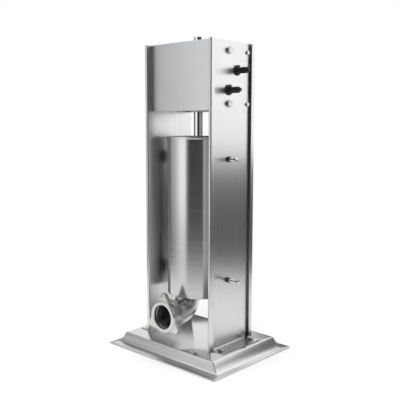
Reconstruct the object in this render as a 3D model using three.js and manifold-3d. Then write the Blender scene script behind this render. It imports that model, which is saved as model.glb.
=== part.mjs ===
// Upright hand-cranked sausage stuffer, two speeds, about five litres.
// Units are millimetres. +Z is up, the outlet faces -Y, the crank shafts leave on +X.
// The origin is at the centre of the base, at the level of the table it stands on.
import * as THREE from "three";
import { mergeVertices } from "three/addons/utils/BufferGeometryUtils.js";
import Module from "manifold-3d";

const wasm = await Module();
wasm.setup();

// ---------------------------------------------------------------- driving dimensions
const GAP = 0.3; // between pieces that touch
const SHEET = 1.5; // frame sheet
const THIN_SHEET = 1.2; // cover sheet

const BASE_X = 160.2; // half size of the base at the table
const BASE_Y = 129.7;
const PLATEAU_X = 133.4; // half size of its raised top
const PLATEAU_Y = 102.3;
const PLATEAU_Z = 26.5;
const SKIRT_X = 149.5; // half size where the skirt meets the rim
const SKIRT_Y = 107.7;
const RIM_Z = 3.2;
const HEM = 9; // width of the folded edge that rests on the table

const FRAME_TOP = 669.6;
const PANEL_IN = 89.3; // inner face of a side panel
const PANEL_OUT = PANEL_IN + SHEET;
const PANEL_DEPTH = 70.3; // half depth of the frame
const LIP_X = 97.3; // outer face of the returned lip
const LIP_LENGTH = 11;
const FOOT_X = 125.3; // how far the feet reach out
const FOOT_Y = 61.5;
const FOOT_Z = PLATEAU_Z + GAP;

const FRONT_FACE = 57.5; // outer face of the front cover
const FRONT_FLANGE = 14;
const REAR_FACE = 69.5;
const REAR_FLANGE = 9;
const COVER_BOTTOM = 528;

const PLATE = 8; // gearbox plates
const BOX_FRONT = -21;
const BOX_BACK = 60;
const BOX_BOTTOM = 530.5;
const BOX_TOP = 662;
const INNER_PLATE_X = 30;
const INNER_PLATE = 6;
const BOLT_Y = [-8.5, 51.5]; // gearbox bolts: M8 in front, M5 behind
const BOLT_R = [4, 2.5];
const BOLT_FLATS = [13, 8];
const BOLT_HEAD = [5.3, 3.5];
const BOLT_Z = [542, 650];

const MODULE = 2; // all the teeth
const ADDENDUM = 1.3;
const DEDENDUM = 2;
const PRESSURE_ANGLE = Math.PI / 9;
const PINION_TEETH = 11;
const SMALL_TEETH = 13;
const LARGE_TEETH = 36;
const SHAFT_R = 6.5;
const SHAFT_END = 123.5; // where the crank shafts end
const TIP_R = 3.5; // their turned-down ends
const PINION_Y = 17.5;
const PINION_Z = 610.8;
const SLOW_Y = -8.9;
const CENTRE_DISTANCE = (MODULE * (SMALL_TEETH + LARGE_TEETH)) / 2;
const SLOW_Z = PINION_Z - Math.sqrt(CENTRE_DISTANCE ** 2 - (PINION_Y - SLOW_Y) ** 2);
const GEAR_X = 52;
const GEAR_WIDTH = 12;

const RACK_R = 12;
const RACK_TIP_Y = PINION_Y - (MODULE * PINION_TEETH) / 2 + ADDENDUM;
const RACK_TOP = 685.5;
const RACK_TEETH = 66;
const RACK_CHANNEL = 6.5; // half width of the channel that the teeth are cut in
const PINION_WIDTH = 12;

const BORE_R = 69.2; // meat cylinder
const TUBE_R = 70;
const BEAD_R = 72.6;
const TUBE_BOTTOM = 127.2;
const TUBE_FLOOR = 128.4;
const TUBE_TOP = 474.3;

const PISTON_BOTTOM = 144.4;
const PISTON_TOP = 189.4;

const OUTLET_Y = -35; // elbow under the cylinder
const OUTLET_Z = 93;
const PIPE_R = 27;
const PIPE_BORE_R = 25;
const BEND_R = TUBE_BOTTOM - GAP - OUTLET_Z;
const PIPE_END_Y = -92;
const FERRULE_R = 31;
const FERRULE_BACK_Y = -84;
const FERRULE_FRONT_Y = -107.5;
const NUT_BACK_Y = -101;
const NUT_FRONT_Y = -115;
const NUT_R = 35;
const EAR_R = 50;

const CLAMP_Y = -8; // four clamp screws
const CLAMP_Z = { upper: 427.4, lower: 170 };
const CLAMP_END = { upper: 113.4, lower: 121.5 };
const SCREW_R = 3;
const PAD_R = 16;
const PAD_IN = 70.4;
const PAD_OUT = 74.4;
const HUB_OUT = 80.4;

// ---------------------------------------------------------------- materials
function metal(color, roughness) {
  return new THREE.MeshStandardMaterial({ color, roughness, metalness: 1 });
}

const brushedSteel = () => metal(0xb9bbbd, 0.32);
const polishedSteel = () => metal(0xc8cacb, 0.15);
const satinSteel = () => metal(0xb4b5b4, 0.45);
const castSteel = () => metal(0xc4c4c2, 0.5);
const gearSteel = () => metal(0x77787a, 0.4);
const blackSteel = () => metal(0x1c1c1d, 0.45);
const bronze = () => metal(0xa5793f, 0.4);
const chrome = () => metal(0xd8dadc, 0.08);

function plastic(color, roughness) {
  return new THREE.MeshStandardMaterial({ color, roughness, metalness: 0 });
}

const whiteNylon = () => plastic(0xe4e3dd, 0.5);
const blackRubber = () => plastic(0x202020, 0.85);
const silicone = () => plastic(0xd9d6cc, 0.6);

// ---------------------------------------------------------------- solids
function solid(geometry) {
  const plain = geometry.clone();
  plain.deleteAttribute("normal");
  plain.deleteAttribute("uv");
  const merged = mergeVertices(plain, 1e-4);
  const mesh = new wasm.Mesh({
    numProp: 3,
    vertProperties: new Float32Array(merged.attributes.position.array),
    triVerts: new Uint32Array(merged.index.array),
  });
  return new wasm.Manifold(mesh);
}

function geometryOf(shape) {
  const mesh = shape.getMesh();
  const geometry = new THREE.BufferGeometry();
  geometry.setAttribute("position", new THREE.BufferAttribute(mesh.vertProperties, 3));
  geometry.setIndex(new THREE.BufferAttribute(mesh.triVerts, 1));
  geometry.computeVertexNormals();
  return geometry;
}

function join(first, ...rest) {
  return rest.reduce((sum, piece) => sum.add(piece), first);
}

function cut(first, ...rest) {
  return rest.reduce((left, piece) => left.subtract(piece), first);
}

function box([x0, x1], [y0, y1], [z0, z1]) {
  const geometry = new THREE.BoxGeometry(x1 - x0, y1 - y0, z1 - z0);
  geometry.translate((x0 + x1) / 2, (y0 + y1) / 2, (z0 + z1) / 2);
  return solid(geometry);
}

// A box whose upper rectangle is smaller than its lower one, centred on the Z axis.
function taperedBox(lowX, lowY, z0, highX, highY, z1) {
  const geometry = new THREE.BoxGeometry(2, 2, 2);
  const points = geometry.attributes.position;
  for (let i = 0; i < points.count; i += 1) {
    const high = points.getZ(i) > 0;
    const x = points.getX(i) * (high ? highX : lowX);
    const y = points.getY(i) * (high ? highY : lowY);
    points.setXYZ(i, x, y, high ? z1 : z0);
  }
  return solid(geometry);
}

// Turns a solid made along Z so that it lies along the axis given.
function along(axis, geometry) {
  if (axis === "x") geometry.rotateY(Math.PI / 2);
  if (axis === "y") geometry.rotateX(-Math.PI / 2);
  return geometry;
}

// A revolved solid: profile points are [radius, distance along the axis].
function revolved(axis, profile, segments = 32) {
  const points = profile.map(([r, h]) => new THREE.Vector2(r, h));
  const geometry = new THREE.LatheGeometry(points, segments);
  geometry.rotateX(Math.PI / 2);
  const turned = along(axis, geometry);
  const made = solid(turned);
  return made.volume() > 0 ? made : solid(flipped(turned));
}

function flipped(geometry) {
  const turned = geometry.clone();
  const index = turned.index.array;
  for (let i = 0; i < index.length; i += 3) {
    const swap = index[i];
    index[i] = index[i + 1];
    index[i + 1] = swap;
  }
  return turned;
}

function rod(axis, radius, from, to, segments = 24) {
  const profile = [[0, from], [radius, from], [radius, to], [0, to]];
  return revolved(axis, profile, segments);
}

function ring(axis, inner, outer, from, to, segments = 32) {
  const profile = [[inner, from], [outer, from], [outer, to], [inner, to], [inner, from]];
  return revolved(axis, profile, segments);
}

function prism(axis, shape, from, to, curveSegments = 6) {
  const options = { depth: to - from, bevelEnabled: false, curveSegments };
  const geometry = new THREE.ExtrudeGeometry(shape, options);
  geometry.translate(0, 0, from);
  return solid(along(axis, geometry));
}

function polygon(points) {
  return new THREE.Shape(points.map(([x, y]) => new THREE.Vector2(x, y)));
}

function hexagon(acrossFlats) {
  const radius = acrossFlats / Math.sqrt(3);
  const corners = [];
  for (let i = 0; i < 6; i += 1) {
    const angle = (i * Math.PI) / 3 + Math.PI / 6;
    corners.push([radius * Math.cos(angle), radius * Math.sin(angle)]);
  }
  return polygon(corners);
}

function mesh(name, shape, material, [x, y, z] = [0, 0, 0]) {
  const made = new THREE.Mesh(geometryOf(shape), material);
  made.name = name;
  made.position.set(x, y, z);
  return made;
}

function group(position, ...children) {
  const made = new THREE.Group();
  made.position.set(...position);
  made.add(...children);
  return made;
}

// ---------------------------------------------------------------- teeth
// Half the angle of a tooth at radius r, for an involute gear with a little backlash.
function halfToothAngle(teeth, r, backlash) {
  const pitch = (MODULE * teeth) / 2;
  const base = pitch * Math.cos(PRESSURE_ANGLE);
  const involute = (radius) => {
    const angle = Math.acos(Math.min(1, base / radius));
    return Math.tan(angle) - angle;
  };
  const atPitch = (Math.PI * MODULE) / 2 / 2 / pitch - backlash / 2 / pitch;
  return atPitch + involute(pitch) - involute(Math.max(r, base));
}

function gear(teeth, width, boreR, turn, backlash = 0.36) {
  const pitch = (MODULE * teeth) / 2;
  const root = pitch - DEDENDUM;
  const tip = pitch + ADDENDUM;
  const radii = [root, pitch, tip];
  const points = [];
  for (let i = 0; i < teeth; i += 1) {
    const middle = (2 * Math.PI * i) / teeth + turn;
    const rise = radii.map((r) => [r, middle - halfToothAngle(teeth, r, backlash)]);
    const fall = radii.map((r) => [r, middle + halfToothAngle(teeth, r, backlash)]).reverse();
    for (const [r, angle] of [...rise, ...fall]) {
      points.push([r * Math.cos(angle), r * Math.sin(angle)]);
    }
  }
  const blank = prism("z", polygon(points), 0, width);
  return cut(blank, rod("z", boreR, -1, width + 1, 16));
}

// ---------------------------------------------------------------- base
function basePan() {
  const wall = SHEET * 1.2;
  const outside = join(
    taperedBox(SKIRT_X, SKIRT_Y, RIM_Z - 1, PLATEAU_X, PLATEAU_Y, PLATEAU_Z),
    box([-BASE_X, BASE_X], [-BASE_Y, BASE_Y], [0, RIM_Z]),
  );
  const inside = join(
    taperedBox(
      SKIRT_X - wall,
      SKIRT_Y - wall,
      RIM_Z - 3,
      PLATEAU_X - wall,
      PLATEAU_Y - wall,
      PLATEAU_Z - SHEET,
    ),
    box([HEM - BASE_X, BASE_X - HEM], [HEM - BASE_Y, BASE_Y - HEM], [-1, RIM_Z - SHEET]),
  );
  let pan = cut(outside, inside);
  for (const [x, y] of footBoltPlaces()) {
    const weldNut = prism("z", hexagon(13), PLATEAU_Z - SHEET - 6, PLATEAU_Z - SHEET + 0.5);
    pan = pan.add(weldNut.translate(x, y, 0));
    pan = pan.subtract(rod("z", 4.4, 10, 40, 12).translate(x, y, 0));
  }
  return pan;
}

function footBoltPlaces() {
  const places = [];
  for (const x of [-109, 109]) {
    for (const y of [-49, 49]) places.push([x, y]);
  }
  return places;
}

function footBolt() {
  const head = prism("z", hexagon(13), 0, 5.3);
  return join(head, rod("z", 4, -14, 0.5, 12));
}

// ---------------------------------------------------------------- side panels
// One folded sheet: a web, flanges with returned lips front and rear, and a foot bent outwards.
function sidePanel(side) {
  const lipEnd = PANEL_DEPTH - LIP_LENGTH;
  const bend = 2;
  const outline = [
    [LIP_X, -lipEnd], [LIP_X - SHEET, -lipEnd], [LIP_X - SHEET, SHEET - PANEL_DEPTH],
    [PANEL_OUT, SHEET - PANEL_DEPTH], [PANEL_OUT, PANEL_DEPTH - SHEET],
    [LIP_X - SHEET, PANEL_DEPTH - SHEET], [LIP_X - SHEET, lipEnd], [LIP_X, lipEnd],
    [LIP_X, PANEL_DEPTH - bend], [LIP_X - bend, PANEL_DEPTH],
    [PANEL_IN + bend, PANEL_DEPTH], [PANEL_IN, PANEL_DEPTH - bend],
    [PANEL_IN, bend - PANEL_DEPTH], [PANEL_IN + bend, -PANEL_DEPTH],
    [LIP_X - bend, -PANEL_DEPTH], [LIP_X, bend - PANEL_DEPTH],
  ];
  let panel = join(
    prism("z", polygon(outline), FOOT_Z, FRAME_TOP),
    box([PANEL_IN, FOOT_X], [-FOOT_Y, FOOT_Y], [FOOT_Z, FOOT_Z + SHEET]),
  );
  const holes = [];
  BOLT_Y.forEach((y, i) => {
    for (const z of BOLT_Z) holes.push([BOLT_R[i] + 0.6, y, z]);
  });
  for (const z of Object.values(CLAMP_Z)) holes.push([SCREW_R + 0.4, CLAMP_Y, z]);
  if (side > 0) holes.push([9.6, PINION_Y, PINION_Z], [9.6, SLOW_Y, SLOW_Z]);
  for (const [r, y, z] of holes) {
    panel = panel.subtract(rod("x", r, PANEL_IN - 2, PANEL_OUT + 2, 12).translate(0, y, z));
  }
  for (const [x, y] of footBoltPlaces()) {
    if (x > 0) panel = panel.subtract(rod("z", 4.5, 20, 40, 12).translate(x, y, 0));
  }
  return side > 0 ? panel : mirrored(panel);
}

function mirrored(shape) {
  return shape.mirror([1, 0, 0]);
}

// ---------------------------------------------------------------- covers
// A sheet across the gearbox, its two upright edges folded inwards.
function gearboxCover(face, flange) {
  const edge = PANEL_IN - GAP;
  const fold = 1.5;
  const end = flange - face;
  const outline = [
    [-edge, end], [-edge, fold - face], [fold - edge, -face],
    [edge - fold, -face], [edge, fold - face], [edge, end],
    [edge - THIN_SHEET, end], [edge - THIN_SHEET, THIN_SHEET - face],
    [THIN_SHEET - edge, THIN_SHEET - face], [THIN_SHEET - edge, end],
  ];
  return prism("z", polygon(outline), COVER_BOTTOM, FRAME_TOP);
}

function topCover() {
  const edge = PANEL_IN - GAP;
  const inset = THIN_SHEET + GAP;
  const top = FRAME_TOP - 0.5;
  const narrow = edge - inset;
  const middle = [FRONT_FLANGE - FRONT_FACE + GAP, REAR_FACE - REAR_FLANGE - GAP];
  const sheet = join(
    box([-narrow, narrow], [inset - FRONT_FACE, REAR_FACE - inset], [top - THIN_SHEET, top]),
    box([-edge, edge], middle, [top - THIN_SHEET, top]),
  );
  const tabs = [-1, 1].map((side) => {
    const across = side > 0 ? [edge - THIN_SHEET, edge] : [-edge, THIN_SHEET - edge];
    return box(across, [-40, 40], [BOX_TOP + GAP, top - 0.5]);
  });
  return cut(join(sheet, ...tabs), rod("z", RACK_R + 1.5, BOX_TOP, FRAME_TOP + 1, 24));
}

// ---------------------------------------------------------------- gearbox
function gearboxPlate(side) {
  const outer = PANEL_IN - GAP;
  let plate = box([outer - PLATE, outer], [BOX_FRONT, BOX_BACK], [BOX_BOTTOM, BOX_TOP]);
  for (const [i, y] of BOLT_Y.entries()) {
    const hole = rod("x", BOLT_R[i] + 0.4, 60, 100, 12);
    for (const z of BOLT_Z) plate = plate.subtract(hole.translate(0, y, z));
  }
  plate = plate.subtract(rod("x", 9.2, 60, 100).translate(0, PINION_Y, PINION_Z));
  if (side > 0) plate = plate.subtract(rod("x", 9.2, 60, 100).translate(0, SLOW_Y, SLOW_Z));
  return side > 0 ? plate : mirrored(plate);
}

// Carries the inner end of the slow shaft between the two guide plates.
function innerPlate() {
  const across = [INNER_PLATE_X, INNER_PLATE_X + INNER_PLATE];
  const plate = box(across, [BOX_FRONT, BOX_BACK], [BOX_BOTTOM + PLATE + GAP, BOX_TOP - PLATE - GAP]);
  const shaftHole = rod("x", SHAFT_R + 1.5, 0, 60).translate(0, PINION_Y, PINION_Z);
  const bushHole = rod("x", 9.2, 0, 60).translate(0, SLOW_Y, SLOW_Z);
  return cut(plate, shaftHole, bushHole);
}

function guidePlate() {
  const edge = PANEL_IN - PLATE - 2 * GAP;
  const plate = box([-edge, edge], [BOX_FRONT, BOX_BACK], [0, PLATE]);
  return cut(plate, rod("z", RACK_R + 5.5, -1, PLATE + 1, 24));
}

function guideBush() {
  const bore = RACK_R + 0.15;
  const profile = [
    [bore, -3], [RACK_R + 9, -3], [RACK_R + 9, -GAP], [RACK_R + 5, -GAP],
    [RACK_R + 5, PLATE], [bore, PLATE], [bore, -3],
  ];
  return revolved("z", profile, 24);
}

// Flanged bush, its flange outside the panel at +X and its sleeve reaching inwards.
function outerBush() {
  const bore = SHAFT_R + 0.1;
  const flange = PANEL_OUT + GAP;
  const inner = PANEL_IN - GAP - PLATE;
  const profile = [
    [bore, inner], [9, inner], [9, flange], [10.5, flange], [10.5, flange + 2.5],
    [bore, flange + 2.5], [bore, inner],
  ];
  return revolved("x", profile, 20);
}

function plateBush(from, to, flange) {
  const bore = SHAFT_R + 0.1;
  const profile = [
    [bore, from], [9, from], [9, to], [11, to], [11, to + flange], [bore, to + flange], [bore, from],
  ];
  return revolved("x", profile, 20);
}

function gearboxBolt(i) {
  const face = PANEL_OUT + GAP;
  const head = prism("x", hexagon(BOLT_FLATS[i]), face, face + BOLT_HEAD[i]);
  return join(head, rod("x", BOLT_R[i], PANEL_IN - GAP - PLATE + 1, PANEL_OUT + 1, 12));
}

// ---------------------------------------------------------------- shafts
function crankShaft(from) {
  const groove = PANEL_OUT + 2 * GAP + 2.5;
  const profile = [
    [0, from], [SHAFT_R, from], [SHAFT_R, groove], [SHAFT_R - 0.5, groove],
    [SHAFT_R - 0.5, groove + 1.8], [SHAFT_R, groove + 1.8], [SHAFT_R, SHAFT_END - 6],
    [SHAFT_R - 1, SHAFT_END - 5], [TIP_R, SHAFT_END - 5], [TIP_R, SHAFT_END - 0.6],
    [TIP_R - 0.6, SHAFT_END], [0, SHAFT_END],
  ];
  return revolved("x", profile, 16);
}

// Open ring with two lugs, sprung into the groove of a shaft.
function circlip() {
  const from = PANEL_OUT + 2 * GAP + 2.8;
  const band = ring("x", SHAFT_R - 0.3, SHAFT_R + 2.2, from, from + 1.2, 16);
  const lug = (z) => rod("x", 2, from, from + 1.2, 8).translate(0, z, SHAFT_R + 3);
  const hole = (z) => rod("x", 0.8, from - 1, from + 3, 6).translate(0, z, SHAFT_R + 3);
  const slot = box([from - 1, from + 3], [-1, 1], [0, SHAFT_R + 6]);
  return cut(join(band, lug(-2.8), lug(2.8)), slot, hole(-2.8), hole(2.8));
}

// ---------------------------------------------------------------- rack and piston
function rackTeethCutter() {
  const pitch = Math.PI * MODULE;
  const half = pitch / 4 + 0.18;
  const slope = Math.tan(PRESSURE_ANGLE);
  const back = RACK_TIP_Y + 10;
  const depth = ADDENDUM + DEDENDUM;
  const pitchY = RACK_TIP_Y - ADDENDUM;
  const start = PINION_Z + Math.floor((RACK_TOP - 12 - PINION_Z) / pitch) * pitch + pitch / 2 + 2;
  const points = [[back, start], [RACK_TIP_Y, start]];
  // A gap faces the pinion at its own height, so the pinion's tooth there is in mesh.
  const first = Math.floor((RACK_TOP - 12 - PINION_Z) / pitch);
  for (let i = 0; i < RACK_TEETH; i += 1) {
    const z = PINION_Z + (first - i) * pitch;
    const wide = half + slope * (RACK_TIP_Y - pitchY);
    const narrow = half - slope * (pitchY - RACK_TIP_Y + depth);
    points.push([RACK_TIP_Y, z + wide], [RACK_TIP_Y - depth, z + narrow]);
    points.push([RACK_TIP_Y - depth, z - narrow], [RACK_TIP_Y, z - wide]);
  }
  const end = PINION_Z + (first - RACK_TEETH + 1) * pitch - pitch / 2 - 2;
  points.push([RACK_TIP_Y, end], [back, end]);
  const shape = polygon(points.map(([y, z]) => [y, z]));
  const options = { depth: 2 * RACK_CHANNEL, bevelEnabled: false };
  const geometry = new THREE.ExtrudeGeometry(shape, options);
  // The outline is drawn as (y, z), so its plane is turned to face +X.
  geometry.applyMatrix4(new THREE.Matrix4().makeBasis(
    new THREE.Vector3(0, 1, 0), new THREE.Vector3(0, 0, 1), new THREE.Vector3(1, 0, 0),
  ));
  geometry.translate(-RACK_CHANNEL, 0, 0);
  return solid(geometry);
}

function rack() {
  const profile = [
    [0, PISTON_BOTTOM + 2], [7, PISTON_BOTTOM + 2], [7, PISTON_TOP + GAP],
    [RACK_R, PISTON_TOP + GAP], [RACK_R, RACK_TOP - 1], [RACK_R - 1, RACK_TOP], [0, RACK_TOP],
  ];
  return cut(revolved("z", profile, 24), rackTeethCutter());
}

const SEAL_FROM = 169;
const SEAL_TO = 179;

function pistonBody() {
  const profile = [
    [7.2, PISTON_BOTTOM + 10], [15, PISTON_BOTTOM + 10], [15, PISTON_BOTTOM], [62, PISTON_BOTTOM],
    [66, PISTON_BOTTOM + 3], [66.5, SEAL_FROM - GAP], [58, SEAL_FROM - GAP], [58, SEAL_TO + GAP],
    [7.2, SEAL_TO + GAP], [7.2, PISTON_BOTTOM + 10],
  ];
  return cut(revolved("z", profile, 32), airHole());
}

function pistonSeal() {
  const middle = (SEAL_FROM + SEAL_TO) / 2;
  const profile = [
    [58.3, SEAL_FROM], [67.3, SEAL_FROM], [68, SEAL_FROM + 2], [67.3, middle],
    [68, SEAL_TO - 2], [67.3, SEAL_TO], [58.3, SEAL_TO], [58.3, SEAL_FROM],
  ];
  return revolved("z", profile, 48);
}

function pistonPlate() {
  const from = SEAL_TO + 2 * GAP;
  const profile = [
    [7.2, from], [66.5, from], [66.5, from + 3], [64, from + 5], [30, from + 6],
    [26, PISTON_TOP], [7.2, PISTON_TOP], [7.2, from],
  ];
  return cut(revolved("z", profile, 32), airHole());
}

function airHole() {
  return rod("z", 3.3, PISTON_BOTTOM - 5, PISTON_TOP + 5, 12).translate(40, 0, 0);
}

function pistonNut() {
  const nut = prism("z", hexagon(22), PISTON_BOTTOM + 0.5, PISTON_BOTTOM + 10 - GAP);
  return cut(nut, rod("z", 7.2, PISTON_BOTTOM - 1, PISTON_TOP, 16));
}

// Lifts off its seat and lets the trapped air out when the piston is wound down.
function airValve() {
  const seat = SEAL_TO + 2 * GAP + 6 + GAP;
  const profile = [
    [0, 160], [3, 160], [3, seat], [7, seat], [7, seat + 1.5], [6, seat + 2],
    [3, seat + 2], [3, seat + 4], [0, seat + 4],
  ];
  return revolved("z", profile, 12).translate(40, 0, 0);
}

// ---------------------------------------------------------------- cylinder and outlet
function meatCylinder() {
  const profile = [
    [0, TUBE_BOTTOM], [TUBE_R - 1, TUBE_BOTTOM], [TUBE_R, TUBE_BOTTOM + 1], [TUBE_R, TUBE_TOP - 5.4],
    [BEAD_R, TUBE_TOP - 4], [BEAD_R, TUBE_TOP - 1.4], [TUBE_R, TUBE_TOP], [BORE_R, TUBE_TOP],
    [BORE_R, TUBE_FLOOR], [0, TUBE_FLOOR],
  ];
  const tube = revolved("z", profile, 48);
  const outlet = rod("z", PIPE_BORE_R, TUBE_BOTTOM - 5, TUBE_FLOOR + 5, 24).translate(0, OUTLET_Y, 0);
  return cut(tube, outlet);
}

function elbow() {
  const path = new THREE.CurvePath();
  const start = new THREE.Vector3(0, OUTLET_Y, OUTLET_Z + BEND_R);
  const turned = new THREE.Vector3(0, OUTLET_Y - BEND_R, OUTLET_Z);
  const end = new THREE.Vector3(0, PIPE_END_Y, OUTLET_Z);
  const quarter = (4 / 3) * (Math.SQRT2 - 1) * BEND_R;
  const down = start.clone().add(new THREE.Vector3(0, 0, -quarter));
  const back = turned.clone().add(new THREE.Vector3(0, quarter, 0));
  path.add(new THREE.CubicBezierCurve3(start, down, back, turned));
  path.add(new THREE.LineCurve3(turned, end));
  const section = new THREE.Shape().absarc(0, 0, PIPE_R, 0, 2 * Math.PI);
  section.holes.push(new THREE.Path().absarc(0, 0, PIPE_BORE_R, 0, 2 * Math.PI, true));
  const options = { steps: 11, curveSegments: 12, extrudePath: path };
  return solid(new THREE.ExtrudeGeometry(section, options));
}

function ferrule() {
  const stop = PIPE_END_Y - GAP;
  const profile = [
    [PIPE_R + GAP, FERRULE_BACK_Y], [FERRULE_R + 2, FERRULE_BACK_Y],
    [FERRULE_R + 2, FERRULE_BACK_Y - 4], [FERRULE_R - 1, FERRULE_BACK_Y - 5],
  ];
  for (let y = FERRULE_BACK_Y - 7; y > FERRULE_FRONT_Y + 4; y -= 5) {
    profile.push([FERRULE_R, y - 1], [FERRULE_R, y - 3], [FERRULE_R - 1, y - 4]);
  }
  profile.push([FERRULE_R - 1, FERRULE_FRONT_Y], [PIPE_BORE_R, FERRULE_FRONT_Y]);
  profile.push([PIPE_BORE_R, stop], [PIPE_R + GAP, stop], [PIPE_R + GAP, FERRULE_BACK_Y]);
  return revolved("y", profile, 24);
}

function outletSeal() {
  return ring("y", PIPE_BORE_R + 0.7, FERRULE_R - 1, FERRULE_FRONT_Y - GAP - 1.2, FERRULE_FRONT_Y - GAP, 24);
}

// Ring nut with three ears for turning by hand.
function wingNut() {
  const profile = [
    [FERRULE_R + 0.4, NUT_BACK_Y], [NUT_R - 1, NUT_BACK_Y], [NUT_R, NUT_BACK_Y - 1.5],
    [NUT_R, NUT_FRONT_Y + 2], [NUT_R - 2, NUT_FRONT_Y], [PIPE_BORE_R + 1.5, NUT_FRONT_Y],
    [PIPE_BORE_R + 0.7, NUT_FRONT_Y + 1], [PIPE_BORE_R + 0.7, NUT_FRONT_Y + 4],
    [FERRULE_R + 0.4, NUT_FRONT_Y + 4], [FERRULE_R + 0.4, NUT_BACK_Y],
  ];
  let nut = revolved("y", profile, 32);
  const earOutline = polygon([
    [19.7, -27.5], [EAR_R - 1, -7], [EAR_R, -5.5], [EAR_R, 5.5], [EAR_R - 1, 7], [19.7, 27.5],
  ]);
  for (const degrees of [90, -30, -150]) {
    const ear = cut(prism("z", earOutline, -4.5, 4.5), rod("z", NUT_R - 1.5, -6, 6, 32));
    const turned = ear.rotate([90, 0, 0]).rotate([0, -degrees, 0]);
    nut = nut.add(turned.translate(0, (NUT_BACK_Y + NUT_FRONT_Y) / 2, 0));
  }
  return nut;
}

// ---------------------------------------------------------------- cylinder clamps
function clampNut() {
  const nut = prism("x", hexagon(10), PANEL_OUT + GAP, PANEL_OUT + GAP + 5);
  return cut(nut, rod("x", SCREW_R + 0.15, 80, 110, 12));
}

function clampScrew(level) {
  const tip = PAD_IN + 2.5;
  const end = CLAMP_END[level];
  const profile = [
    [0, tip], [SCREW_R, tip], [SCREW_R, end - 6], [4.6, end - 6],
    [5, end - 5.4], [5, end - 1], [4.2, end], [0, end],
  ];
  return revolved("x", profile, 12);
}

// Pad that the screw pushes against the cylinder; the screw turns freely in its hub.
function clampPad() {
  const bore = SCREW_R + 0.2;
  const profile = [
    [0, PAD_IN], [PAD_R, PAD_IN], [PAD_R, PAD_OUT - 1], [PAD_R - 1, PAD_OUT], [7, PAD_OUT],
    [7, HUB_OUT], [bore, HUB_OUT], [bore, PAD_IN + 2.2], [0, PAD_IN + 2.2],
  ];
  return revolved("x", profile, 16);
}

// ---------------------------------------------------------------- assembly
function frameParts() {
  const rearCover = gearboxCover(REAR_FACE, REAR_FLANGE).rotate([0, 0, 180]);
  const parts = [
    mesh("base_pan", basePan(), polishedSteel()),
    mesh("side_panel_left", sidePanel(-1), brushedSteel()),
    mesh("side_panel_right", sidePanel(1), brushedSteel()),
    mesh("front_cover", gearboxCover(FRONT_FACE, FRONT_FLANGE), satinSteel()),
    mesh("rear_cover", rearCover, satinSteel()),
    mesh("top_cover", topCover(), satinSteel()),
    mesh("gearbox_plate_left", gearboxPlate(-1), gearSteel()),
    mesh("gearbox_plate_right", gearboxPlate(1), gearSteel()),
    mesh("gearbox_inner_plate", innerPlate(), gearSteel()),
    mesh("guide_plate_lower", guidePlate(), gearSteel(), [0, 0, BOX_BOTTOM]),
    mesh("guide_plate_upper", guidePlate(), gearSteel(), [0, 0, BOX_TOP - PLATE]),
    mesh("guide_bush_lower", guideBush(), whiteNylon(), [0, 0, BOX_BOTTOM]),
    mesh("guide_bush_upper", guideBush(), whiteNylon(), [0, 0, BOX_TOP - PLATE]),
  ];
  const names = ["front_left", "rear_left", "front_right", "rear_right"];
  const seat = FOOT_Z + SHEET + GAP;
  footBoltPlaces().forEach(([x, y], i) => {
    parts.push(mesh(`foot_bolt_${names[i]}`, footBolt(), polishedSteel(), [x, y, seat]));
  });
  return parts;
}

function gearboxBolts() {
  const parts = [];
  const rows = ["lower", "upper"];
  const columns = ["front", "rear"];
  BOLT_Y.forEach((y, i) => {
    BOLT_Z.forEach((z, j) => {
      const tail = `${rows[j]}_${columns[i]}`;
      parts.push(mesh(`bolt_right_${tail}`, gearboxBolt(i), polishedSteel(), [0, y, z]));
      parts.push(mesh(`bolt_left_${tail}`, mirrored(gearboxBolt(i)), polishedSteel(), [0, y, z]));
    });
  });
  return parts;
}

function bushes() {
  const plateIn = PANEL_IN - GAP - PLATE;
  const leftBush = mirrored(plateBush(PANEL_IN - GAP, plateIn - GAP, -2));
  const innerOut = INNER_PLATE_X + INNER_PLATE;
  const innerBush = plateBush(INNER_PLATE_X, innerOut + GAP, 2);
  return [
    mesh("fast_bush_right", outerBush(), blackSteel(), [0, PINION_Y, PINION_Z]),
    mesh("fast_bush_left", leftBush, bronze(), [0, PINION_Y, PINION_Z]),
    mesh("slow_bush_right", outerBush(), blackSteel(), [0, SLOW_Y, SLOW_Z]),
    mesh("slow_bush_inner", innerBush, bronze(), [0, SLOW_Y, SLOW_Z]),
  ];
}

// The group of a shaft stands on its own axis of rotation.
function fastShaft() {
  const toothToRack = Math.PI;
  const pinion = gear(PINION_TEETH, PINION_WIDTH, SHAFT_R + GAP, toothToRack).rotate([90, 0, 90]);
  const towardsSlow = Math.atan2(SLOW_Z - PINION_Z, SLOW_Y - PINION_Y);
  const large = gear(LARGE_TEETH, GEAR_WIDTH, SHAFT_R + GAP, towardsSlow).rotate([90, 0, 90]);
  return group(
    [0, PINION_Y, PINION_Z],
    mesh("fast_shaft", crankShaft(-86), blackSteel()),
    mesh("rack_pinion", pinion, gearSteel(), [-PINION_WIDTH / 2, 0, 0]),
    mesh("large_gear", large, gearSteel(), [GEAR_X, 0, 0]),
    mesh("fast_circlip", circlip(), blackSteel()),
  );
}

function slowShaft() {
  const towardsFast = Math.atan2(PINION_Z - SLOW_Z, PINION_Y - SLOW_Y);
  const gapToFast = towardsFast + Math.PI / SMALL_TEETH;
  const small = gear(SMALL_TEETH, GEAR_WIDTH, SHAFT_R + GAP, gapToFast).rotate([90, 0, 90]);
  return group(
    [0, SLOW_Y, SLOW_Z],
    mesh("slow_shaft", crankShaft(INNER_PLATE_X), blackSteel()),
    mesh("small_gear", small, gearSteel(), [GEAR_X, 0, 0]),
    mesh("slow_circlip", circlip(), blackSteel()),
  );
}

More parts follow.
